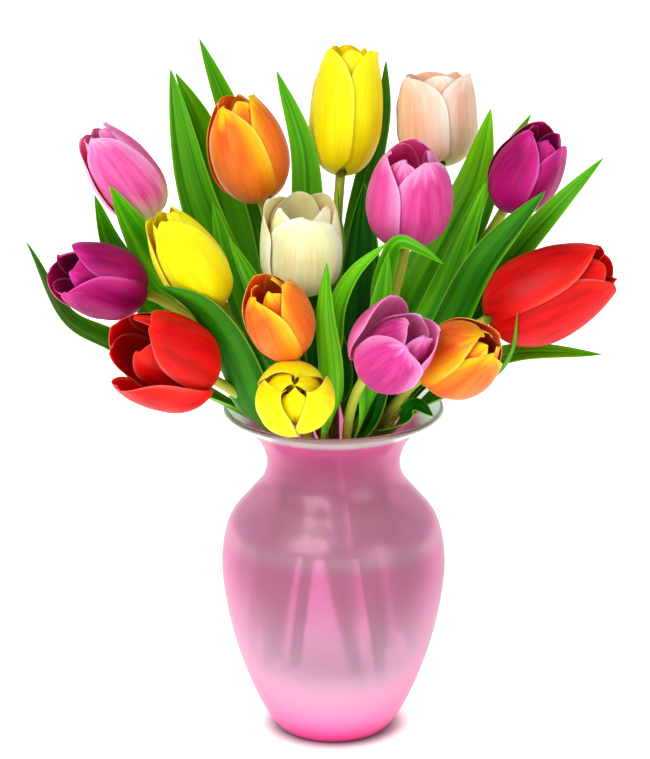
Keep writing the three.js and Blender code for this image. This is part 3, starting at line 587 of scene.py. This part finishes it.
class Shell:
    """Gathers the closed shells that one mesh is made of."""

    def __init__(self):
        self.places = []
        self.faces = []
        self.uvs = []
        self.values = {"inner_face": [], "tone": []}
        self.face_materials = []

    def point(self, place, across, along, inner_face=0.0, tone=0.5):
        self.places.append(place)
        self.uvs.append((across, along))
        self.values["inner_face"].append(inner_face)
        self.values["tone"].append(tone)
        return len(self.places) - 1

    def face(self, corners, material=0):
        kept = [corner for i, corner in enumerate(corners) if corner != corners[i - 1]]
        if len(kept) > 2:
            self.faces.append(kept)
            self.face_materials.append(material)

    def blade(self, middle, rows, columns, thickness, tone):
        """A thin closed blade on both sides of middle(u, v), thinner at its edges, with a pointed tip."""
        edge_thinning = 0.55
        tip_thinning = 0.5
        # The rows stand closer together towards the tip, which curves the most.
        rows_at = [1 - (1 - row / rows) ** 1.5 for row in range(rows + 1)]
        columns_at = [2 * column / columns - 1 for column in range(columns + 1)]
        grid = [[middle(u, v) for v in columns_at] for u in rows_at]
        sides = []
        for side in (1, -1):
            ring = []
            for row, u in enumerate(rows_at):
                near = min(row, rows - 1)
                line = []
                for column, v in enumerate(columns_at):
                    if row == rows and line:
                        line.append(line[0])
                        continue
                    ahead = grid[near + 1][column] - grid[max(near - 1, 0)][column]
                    beside = grid[near][min(column + 1, columns)] - grid[near][max(column - 1, 0)]
                    out = ahead.cross(beside).normalized()
                    half = thickness / 2 * (1 - edge_thinning * abs(v) ** 5) * (1 - tip_thinning * u ** 6)
                    place = grid[row][column] + out * half * side
                    line.append(self.point(place, (v + 1) / 2, u, max(side, 0), tone))
                ring.append(line)
            sides.append(ring)
        inner, outer = sides
        for row in range(rows):
            for column in range(columns):
                for ring in sides:
                    self.face([ring[row][column], ring[row][column + 1], ring[row + 1][column + 1],
                               ring[row + 1][column]])
            for column in (0, columns):
                self.face([inner[row][column], inner[row + 1][column], outer[row + 1][column],
                           outer[row][column]])
        for column in range(columns):
            self.face([inner[0][column], inner[0][column + 1], outer[0][column + 1], outer[0][column]])

    def join(self, rings, material=0):
        """The faces from each closed ring of points to the next."""
        for low, high in zip(rings, rings[1:]):
            for side in range(len(low)):
                after = (side + 1) % len(low)
                self.face([low[side], low[after], high[after], high[side]], material)

    def lathe(self, profile, sides, material=0, radius_at=None):
        """A closed solid of revolution round Z, from a profile of radius and height that ends on the axis."""
        rings = []
        for order, (radius, height) in enumerate(profile):
            along = order / (len(profile) - 1)
            if radius == 0:
                rings.append([self.point(Vector((0, 0, height)), 0.5, along)] * sides)
                continue
            ring = []
            for side in range(sides):
                angle = 2 * math.pi * side / sides
                reach = radius * (radius_at(angle, height) if radius_at else 1)
                place = Vector((reach * math.cos(angle), reach * math.sin(angle), height))
                ring.append(self.point(place, side / sides, along))
            rings.append(ring)
        self.join(rings, material)

    def tube(self, route, radius_at, sides, steps):
        """A closed round tube along a route."""
        side_way = route.direction(0).orthogonal().normalized()
        rings = []
        for step in range(steps + 1):
            share = step / steps
            ahead = route.direction(share)
            side_way = (side_way - ahead * side_way.dot(ahead)).normalized()
            other_way = ahead.cross(side_way)
            ring = []
            for side in range(sides):
                angle = 2 * math.pi * side / sides
                out = side_way * math.cos(angle) + other_way * math.sin(angle)
                ring.append(self.point(route.at(share) + out * radius_at(share), side / sides, share))
            rings.append(ring)
        self.join(rings)
        self.face(rings[0])
        self.face(rings[-1])

    def moved(self, placement):
        self.places = [placement @ place for place in self.places]

    def mesh(self, name, materials):
        """The shells as one mesh in metres, with their own UV map, each point's values and the materials."""
        mesh = bpy.data.meshes.new(name)
        mesh.from_pydata([place * MM for place in self.places], [], self.faces)
        layer = mesh.uv_layers.new(name="blade")
        corners = [0] * len(mesh.loops)
        mesh.loops.foreach_get("vertex_index", corners)
        layer.data.foreach_set("uv", [number for corner in corners for number in self.uvs[corner]])
        for label, numbers in self.values.items():
            mesh.attributes.new(label, "FLOAT", "POINT").data.foreach_set("value", numbers)
        for material in materials:
            mesh.materials.append(material)
        mesh.polygons.foreach_set("material_index", self.face_materials)
        work = bmesh.new()
        work.from_mesh(mesh)
        bmesh.ops.recalc_face_normals(work, faces=work.faces)
        work.to_mesh(mesh)
        work.free()
        mesh.shade_smooth()
        mesh.set_sharp_from_angle(angle=math.radians(55))
        return mesh


def petal_surface(length, radius, tip, spread, lean, spin, lift, frill, seed):
    """The middle surface of one petal in its bloom's own frame, with the bloom's axis along Z."""
    # Shares of the way up the petal, and sizes in millimetres.
    widest = 0.42
    narrows_from = 0.45
    widest_height = 0.4 * length
    groove_depth = 0.6
    unevenness = 0.7
    turn = Matrix.Rotation(spin, 3, "Z")
    start = Vector((seed * 7.3, seed * 3.1, 0))

    def surface(u, v):
        rise = max((u - widest) / (1 - widest), 0)
        swell = min(u / widest, 1) * math.pi / 2
        if u < widest:
            ring = PETAL_ROOT + (radius - PETAL_ROOT) * math.sin(swell)
            height = widest_height * (1 - math.cos(swell))
        else:
            ring = radius * (1 - (1 - tip) * rise ** 2.1)
            height = widest_height + (length - widest_height) * rise
        narrowing = max((u - narrows_from) / (1 - narrows_from), 0)
        claw = 0.3 + 0.7 * min(4 * u, 1)
        round_tip = max(1 - narrowing ** 4, 0) ** 0.55
        angle = v * spread * claw * round_tip
        ring += OVERLAP_STEP * v * min(4 * u, 1)
        # The groove down the middle, the wave of the edges and the soft unevenness of a grown petal.
        ring -= groove_depth * math.exp(-(v / 0.14) ** 2) * math.sin(math.pi * min(u, 0.95))
        ring += frill * abs(v) ** 3 * smoothstep(u, 0.3, 1) * math.sin(2 * math.pi * (2.1 * u + seed) + 2 * v)
        ring += unevenness * noise.noise(start + Vector((2.5 * u, 1.6 * v, 0))) * smoothstep(u, 0.1, 0.5)
        out = ring * math.cos(angle) - PETAL_ROOT
        return turn @ Vector((
            PETAL_ROOT + out * math.cos(lean) + height * math.sin(lean),
            ring * math.sin(angle),
            lift - out * math.sin(lean) + height * math.cos(lean),
        ))

    return surface


def head_placement(tulip):
    """The bloom's own frame: Z along its aim, and X to the side that a petal with no spin turns to."""
    aim = Vector(tulip["aim"]).normalized()
    front = (FRONT - aim * FRONT.dot(aim)).normalized()
    turn = Matrix((front, aim.cross(front), aim)).transposed().to_4x4()
    return Matrix.Translation(Vector(tulip["base"])) @ turn


# The small cup that the petals grow from, from its top down, as radius and height.
CUP_OUTLINE = [
    (0, CUP_HEIGHT), (3.8, CUP_HEIGHT), (4.3, 5.2), (4.6, 3.6), (4.5, 2), (3.9, 0.7), (2.9, 0), (0, 0),
]


def make_bloom(tulip, draw):
    """Three outer and three inner petals on the small cup that ends the stem."""
    shell = Shell()
    # Petals 0, 1 and 2 are the outer ones, and 3, 4 and 5 the inner ones, a ring further in.
    for petal in range(6):
        inner = petal > 2
        step_in = RING_STEP if inner else 0
        opened = tulip.get("opened", {}).get(petal, 0)
        surface = petal_surface(
            length=tulip["length"] - PETAL_LIFT - step_in,
            radius=tulip["radius"] - step_in,
            tip=tulip["tip"],
            spread=math.radians(60 if inner else 70),
            lean=math.radians(tulip["lean"][1 if inner else 0] + opened),
            spin=math.radians(tulip["spin"] + 120 * petal + (60 if inner else 0)),
            lift=PETAL_LIFT + step_in,
            frill=tulip.get("frill", 0.6),
            seed=draw.random(),
        )
        shell.blade(surface, PETAL_ROWS, PETAL_COLUMNS, PETAL_THICKNESS, draw.random())
    shell.lathe(CUP_OUTLINE, CUP_SIDES, material=1)
    shell.moved(head_placement(tulip))
    name = tulip["name"] + "_bloom"
    mesh = shell.mesh(name + "_petals", [PETALS[tulip["finish"]], STEM_SKIN])
    piece(mesh, "petal_" + tulip["finish"], name)


def leaf_surface(leaf, stem, seed):
    """The middle surface of one leaf along its route, hollow across and with gently waved edges."""
    share = stem.share_at_height(leaf["from"])
    point = stem.at(share)
    tangent = stem.direction(share)
    route = [Vector(place) for place in leaf["route"]]
    way = route[0] - point
    out = (way - tangent * way.dot(tangent)).normalized()
    root = point + out * (STEM_RADIUS - 1)
    spine = Route(curve_through([root, *route]))
    stem_side = -out
    face = Vector(leaf["face"]).normalized() if leaf["face"] else stem_side
    half = leaf["width"] / 2
    widens_to = 0.36
    narrows_from = 0.45
    # How far the leaf's cross section turns from its middle to its edge, in radians.
    root_bend = 1.1
    open_bend = 0.45
    # The wave of its edges, as a share of its width, and the depth of its keel in millimetres.
    waviness = 0.09
    keel_depth = 0.35

    def surface(u, v):
        centre = spine.at(u)
        ahead = spine.direction(min(u, 0.995), step=0.012)
        turned = smoothstep(u, 0.02, 0.55)
        hollow = stem_side.lerp(face, turned)
        hollow = (hollow - ahead * hollow.dot(ahead)).normalized()
        side = ahead.cross(hollow)
        swell = 0.3 + 0.7 * math.sin(math.pi / 2 * min(u / widens_to, 1))
        narrowing = max((u - narrows_from) / (1 - narrows_from), 0)
        taper = max(1 - narrowing ** 2, 0) ** 0.85
        bend = root_bend + (open_bend - root_bend) * smoothstep(u, 0, 0.4)
        width = max(half * swell * taper, 0.01)
        arc = width / bend
        wave = waviness * width * v * abs(v) * math.sin(2 * math.pi * (1.7 * u + seed) + 1.3 * v)
        keel = -keel_depth * math.exp(-(v / 0.1) ** 2) * smoothstep(u, 0.05, 0.3) * (1 - u)
        return (centre + side * arc * math.sin(v * bend)
                + hollow * (arc * (1 - math.cos(v * bend)) + wave * smoothstep(u, 0.1, 0.5) + keel))

    return surface


def make_leafy_stem(tulip, draw):
    """The stem, a little thinner towards its top, and each leaf that clasps it as a piece of its own."""
    name = tulip["name"]
    stem = stem_route(tulip)
    shell = Shell()
    shell.tube(stem, lambda share: STEM_RADIUS * (1.02 - 0.12 * share), STEM_SIDES, STEM_STEPS)
    piece(shell.mesh(name + "_stalk", [STEM_SKIN]), "stem_and_leaf", name + "_stem")
    for order, leaf in enumerate(tulip["leaves"], start=1):
        shell = Shell()
        surface = leaf_surface(leaf, stem, draw.random())
        shell.blade(surface, LEAF_ROWS, LEAF_COLUMNS, LEAF_THICKNESS, leaf["shade"])
        piece(shell.mesh(f"{name}_leaf_{order}", [LEAF_SKIN]), "stem_and_leaf", name + "_stem")


def stamen_ring():
    """A node tree that rings a pistil with stamens: a filament with its anther, leaning outwards."""
    tree = bpy.data.node_groups.new("stamen ring", "GeometryNodeTree")
    tree.interface.new_socket("Flower heart", in_out="OUTPUT", socket_type="NodeSocketGeometry")
    for kind, inputs in {
        "Geometry": {"Pistil": None},
        "Float": {
            "Ring radius": 2.6 * MM, "Lean": math.radians(12), "Lean spread": math.radians(5),
            "Filament length": 6 * MM, "Filament radius": 0.7 * MM, "Anther length": 7.5 * MM,
            "Anther radius": 1.15 * MM},
        "Int": {"Count": 6, "Seed": 1},
        "Material": {"Filament finish": None, "Anther finish": None},
    }.items():
        for label, value in inputs.items():
            made = tree.interface.new_socket(label, in_out="INPUT", socket_type="NodeSocket" + kind)
            if value:
                made.default_value = value
    add = partial(add_node, tree)
    given = add("NodeGroupInput").node.outputs
    ring = add("GeometryNodeMeshCircle", {"Vertices": given["Count"], "Radius": given["Ring radius"]})
    place = add("ShaderNodeSeparateXYZ", [add("GeometryNodeInputPosition")]).node.outputs
    heading = add(MATHS, [place["Y"], place["X"]], operation="ARCTAN2")
    least = add(MATHS, [given["Lean"], given["Lean spread"]], operation="SUBTRACT")
    most = add(MATHS, [given["Lean"], given["Lean spread"]])
    lean = add("FunctionNodeRandomValue", {"Min": least, "Max": most, "Seed": given["Seed"]},
               data_type="FLOAT")
    turn = add("ShaderNodeCombineXYZ", {"Y": lean, "Z": heading})
    filament = add("GeometryNodeMeshCone", {
        "Vertices": 8, "Radius Top": 0.4 * MM, "Radius Bottom": given["Filament radius"],
        "Depth": given["Filament length"]})
    half = add(MATHS, [given["Anther length"], 0.5], **TIMES)
    height = add(MATHS, [given["Filament length"], half])
    anther = add("GeometryNodeTransform", {
        "Geometry": add("GeometryNodeMeshUVSphere", {"Segments": 10, "Rings": 10, "Radius": 1}),
        "Translation": add("ShaderNodeCombineXYZ", {"Z": height}),
        "Scale": add("ShaderNodeCombineXYZ", [given["Anther radius"], given["Anther radius"], half])})
    joined = add("GeometryNodeJoinGeometry", [given["Pistil"]])
    for shape, finish in ((filament, "Filament finish"), (anther, "Anther finish")):
        copies = add("GeometryNodeInstanceOnPoints", {"Points": ring, "Instance": shape, "Rotation": turn})
        dressed = add("GeometryNodeSetMaterial", {
            "Geometry": add("GeometryNodeRealizeInstances", [copies]), "Material": given[finish]})
        tree.links.new(dressed, joined.node.inputs[0])
    add("NodeGroupOutput", {"Flower heart": joined})
    return tree


# The pistil from its foot to its lobes, as radius and height.
PISTIL_OUTLINE = [
    (0, 0), (2.6, 0), (3.2, 0.6), (2.4, 1.6), (1.9, 4), (2, 8), (2.1, 12), (1.9, 13.6), (2.9, 15), (3.2, 16),
    (2.2, 16.7), (0, 16.4),
]


def make_heart(tulip, tree, seed):
    """The three-lobed pistil with its ring of stamens."""
    name = tulip["name"] + "_heart"
    shell = Shell()
    lobes_from = 12
    shell.lathe(PISTIL_OUTLINE, CUP_SIDES, radius_at=lambda angle, height: (
        1 + (0.3 if height > lobes_from else 0.08) * math.cos(3 * angle)))
    made = bpy.data.objects.new(name, shell.mesh(name, [PISTIL_SKIN]))
    bpy.context.scene.collection.objects.link(made)
    modifier = made.modifiers.new("stamens", "NODES")
    modifier.node_group = tree
    own = {"Seed": seed, "Filament finish": FILAMENT_SKIN, "Anther finish": ANTHER_SKIN}
    for item in tree.interface.items_tree:
        if item.name in own:
            modifier[item.identifier] = own[item.name]
    whole = made.evaluated_get(bpy.context.evaluated_depsgraph_get())
    mesh = bpy.data.meshes.new_from_object(whole)
    bpy.data.objects.remove(made)
    mesh.name = name + "_pieces"
    placement = head_placement(tulip)
    place = placement @ Vector((0, 0, CUP_HEIGHT + GAP))
    mesh.transform(Matrix.Translation(place * MM) @ placement.to_3x3().to_4x4())
    mesh.shade_smooth()
    piece(mesh, "flower_heart", name)


def vase_line(inset, steps):
    """Points along the vase's outside, as radius and height, moved inwards by a distance."""
    places = [Vector((radius, height, 0)) for radius, height in VASE_OUTLINE]
    last = len(places) - 1

    def at(share):
        reach = min(max(share, 0), 1) * last
        index = min(int(reach), last - 1)
        before, after = places[max(index - 1, 0)], places[min(index + 2, last)]
        start, end = places[index], places[index + 1]
        return hermite(start, end, (end - before) / 2, (after - start) / 2, reach - index)

    line = []
    for step in range(steps + 1):
        share = step / steps
        ahead = (at(share + 0.002) - at(share - 0.002)).normalized()
        place = at(share)
        line.append((place.x - inset * ahead.y, place.y + inset * ahead.x))
    return line


def radius_at_height(line, height):
    for (low_radius, low), (high_radius, high) in zip(line, line[1:]):
        if low <= height <= high:
            return low_radius + (high_radius - low_radius) * (height - low) / (high - low)
    return line[-1][0]


def make_vase():
    """The blown glass, thick at its foot, with a rounded lip."""
    outside = vase_line(0, VASE_RINGS)
    inside = [place for place in vase_line(WALL, VASE_RINGS) if place[1] > FLOOR]
    (outer_radius, outer_height), (inner_radius, inner_height) = outside[-1], inside[-1]
    middle = Vector(((outer_radius + inner_radius) / 2, (outer_height + inner_height) / 2))
    arm = Vector((outer_radius, outer_height)) - middle
    lip_steps = 8
    lip = []
    for step in range(1, lip_steps):
        angle = math.pi * step / lip_steps
        turned = arm * math.cos(angle) + Vector((-arm.y, arm.x)) * math.sin(angle)
        lip.append(tuple(middle + turned))
    # The floor inside curves up to meet the wall.
    floor_rise = 2.5
    bowl_floor = [(radius_at_height(inside, FLOOR + 1) * share, FLOOR + floor_rise * share ** 4)
                  for share in (0.9, 0.75, 0.5, 0.25)]
    inside = [place for place in inside if place[1] > FLOOR + floor_rise]
    shell = Shell()
    foot_edge = outside[0][0]
    foot = [(0, 0), (foot_edge * 0.5, 0), (foot_edge * 0.93, 0)]
    outside = [(foot_edge - 0.6, 0.15), *outside[1:]]
    shell.lathe([*foot, *outside, *lip, *reversed(inside), *bowl_floor, (0, FLOOR)], VASE_SIDES)
    piece(shell.mesh("vase_glass", [VASE_GLASS]), "vase_glass", "vase")


def make_water():
    """Still water that climbs a little where it meets the glass."""
    line = vase_line(WALL + GAP, VASE_RINGS)
    side = [place for place in line if FLOOR + 4 < place[1] < WATER_LEVEL]
    edge = radius_at_height(line, WATER_LEVEL)
    climb = 0.7
    climb_width = 1.2
    surface = [(edge - away, WATER_LEVEL + climb * math.exp(-away / climb_width))
               for away in (0.05, 0.6, 1.2, 2.2, 4)]
    low = radius_at_height(line, FLOOR + 3)
    shell = Shell()
    shell.lathe([(0, FLOOR + 0.6), (low * 0.6, FLOOR + 0.8), (low * 0.9, FLOOR + 2), *side, *surface,
                 (edge * 0.5, WATER_LEVEL), (0, WATER_LEVEL)], VASE_SIDES)
    piece(shell.mesh("still_water", [WATER]), "water", "water")


def make_stage():
    """A plain white floor, painted grey under the vase as its shadow, and white walls, with soft studio light
    from both sides in front.
    """
    reach = 14
    floor = bpy.data.meshes.new("studio_floor")
    corners = [(-reach, -reach, 0), (reach, -reach, 0), (reach, reach, 0), (-reach, reach, 0)]
    floor.from_pydata(corners, [], [(0, 1, 2, 3)])
    material, add = start_material("white seamless studio paper")
    place = add("ShaderNodeTexCoord", out="Object")
    patches = add("ShaderNodeTexNoise", {"Vector": place, "Scale": 4})
    paper = add(MIX, {"Factor": patches, "A": "#FAFAFA", "B": "#FFFFFF"}, **COLOUR)
    # Painted shadow: the paper is painted grey under the vase, where its foot shuts the light out.
    from_foot = add("ShaderNodeVectorMath", [place], out="Value", operation="LENGTH")
    share = add(RANGE, [from_foot, 27 * MM, 50 * MM], **SMOOTH)
    paper = add(MIX, {"Factor": share, "A": "#8E8E8E", "B": paper}, **COLOUR)
    # The paper's own glow stands for the light that comes up from it. It stops short of the vase's foot,
    # which paints shade round the foot.
    glow = add(MATHS, [
        add(RANGE, [from_foot, 27 * MM, 52 * MM, 0, 0.62], **SMOOTH),
        add(RANGE, [from_foot, 0.3, 1.8, 0, 0.2], **SMOOTH)])
    shader = add("ShaderNodeBsdfPrincipled", {
        "Base Color": paper, "Roughness": 0.7, "Emission Color": paper, "Emission Strength": glow})
    add("ShaderNodeOutputMaterial", {"Surface": shader})
    floor.materials.append(material)
    ground = bpy.data.objects.new("studio_floor", floor)
    bpy.context.scene.collection.objects.link(ground)

    world = bpy.data.worlds.new("white studio")
    world.use_nodes = True
    # White walls, brighter than the ceiling.
    sky = world.node_tree
    add = partial(add_node, sky)
    rise = add("ShaderNodeSeparateXYZ", [add("ShaderNodeTexCoord", out="Generated")], out="Z")
    background = sky.nodes["Background"].inputs
    background["Color"].default_value = linear("#FFFFFF")
    sky.links.new(add(RANGE, [rise, 0.15, 0.8, 0.6, 0.25], **SMOOTH), background["Strength"])
    scene = bpy.context.scene
    scene.world = world
    scene.view_settings.view_transform = "Standard"
    scene.view_settings.look = "Medium High Contrast"
    target = Vector((0, 0, 0.24))
    for name, place, size, power in (
        ("key_light", (-1.2, -1.8, 2.1), 2.0, 56),
        ("fill_light", (1.9, -1.5, 1.1), 1.4, 12),
    ):
        light = bpy.data.lights.new(name, "AREA")
        light.size = size
        light.energy = power
        lamp = bpy.data.objects.new(name, light)
        lamp.location = place
        lamp.rotation_euler = (target - Vector(place)).to_track_quat("-Z", "Y").to_euler()
        scene.collection.objects.link(lamp)


def make_camera():
    """The photograph's view, from the front and a little above."""
    elevation = math.radians(18)
    distance = 2.2
    target = Vector((-0.005, 0, 0.217))
    camera = bpy.data.cameras.new("camera")
    camera.lens = 178.4
    camera.sensor_width = 36
    holder = bpy.data.objects.new("camera", camera)
    back = Vector((0, -math.cos(elevation), math.sin(elevation)))
    holder.location = target + back * distance
    holder.rotation_euler = back.to_track_quat("Z", "Y").to_euler()
    camera.clip_end = 60
    bpy.context.scene.collection.objects.link(holder)
    bpy.context.scene.camera = holder


make_camera()
make_stage()
make_vase()
make_water()
HEART_TREE = stamen_ring()
for order, tulip in enumerate(TULIPS):
    draw = random.Random(order)
    make_bloom(tulip, draw)
    make_leafy_stem(tulip, draw)
    make_heart(tulip, HEART_TREE, order)
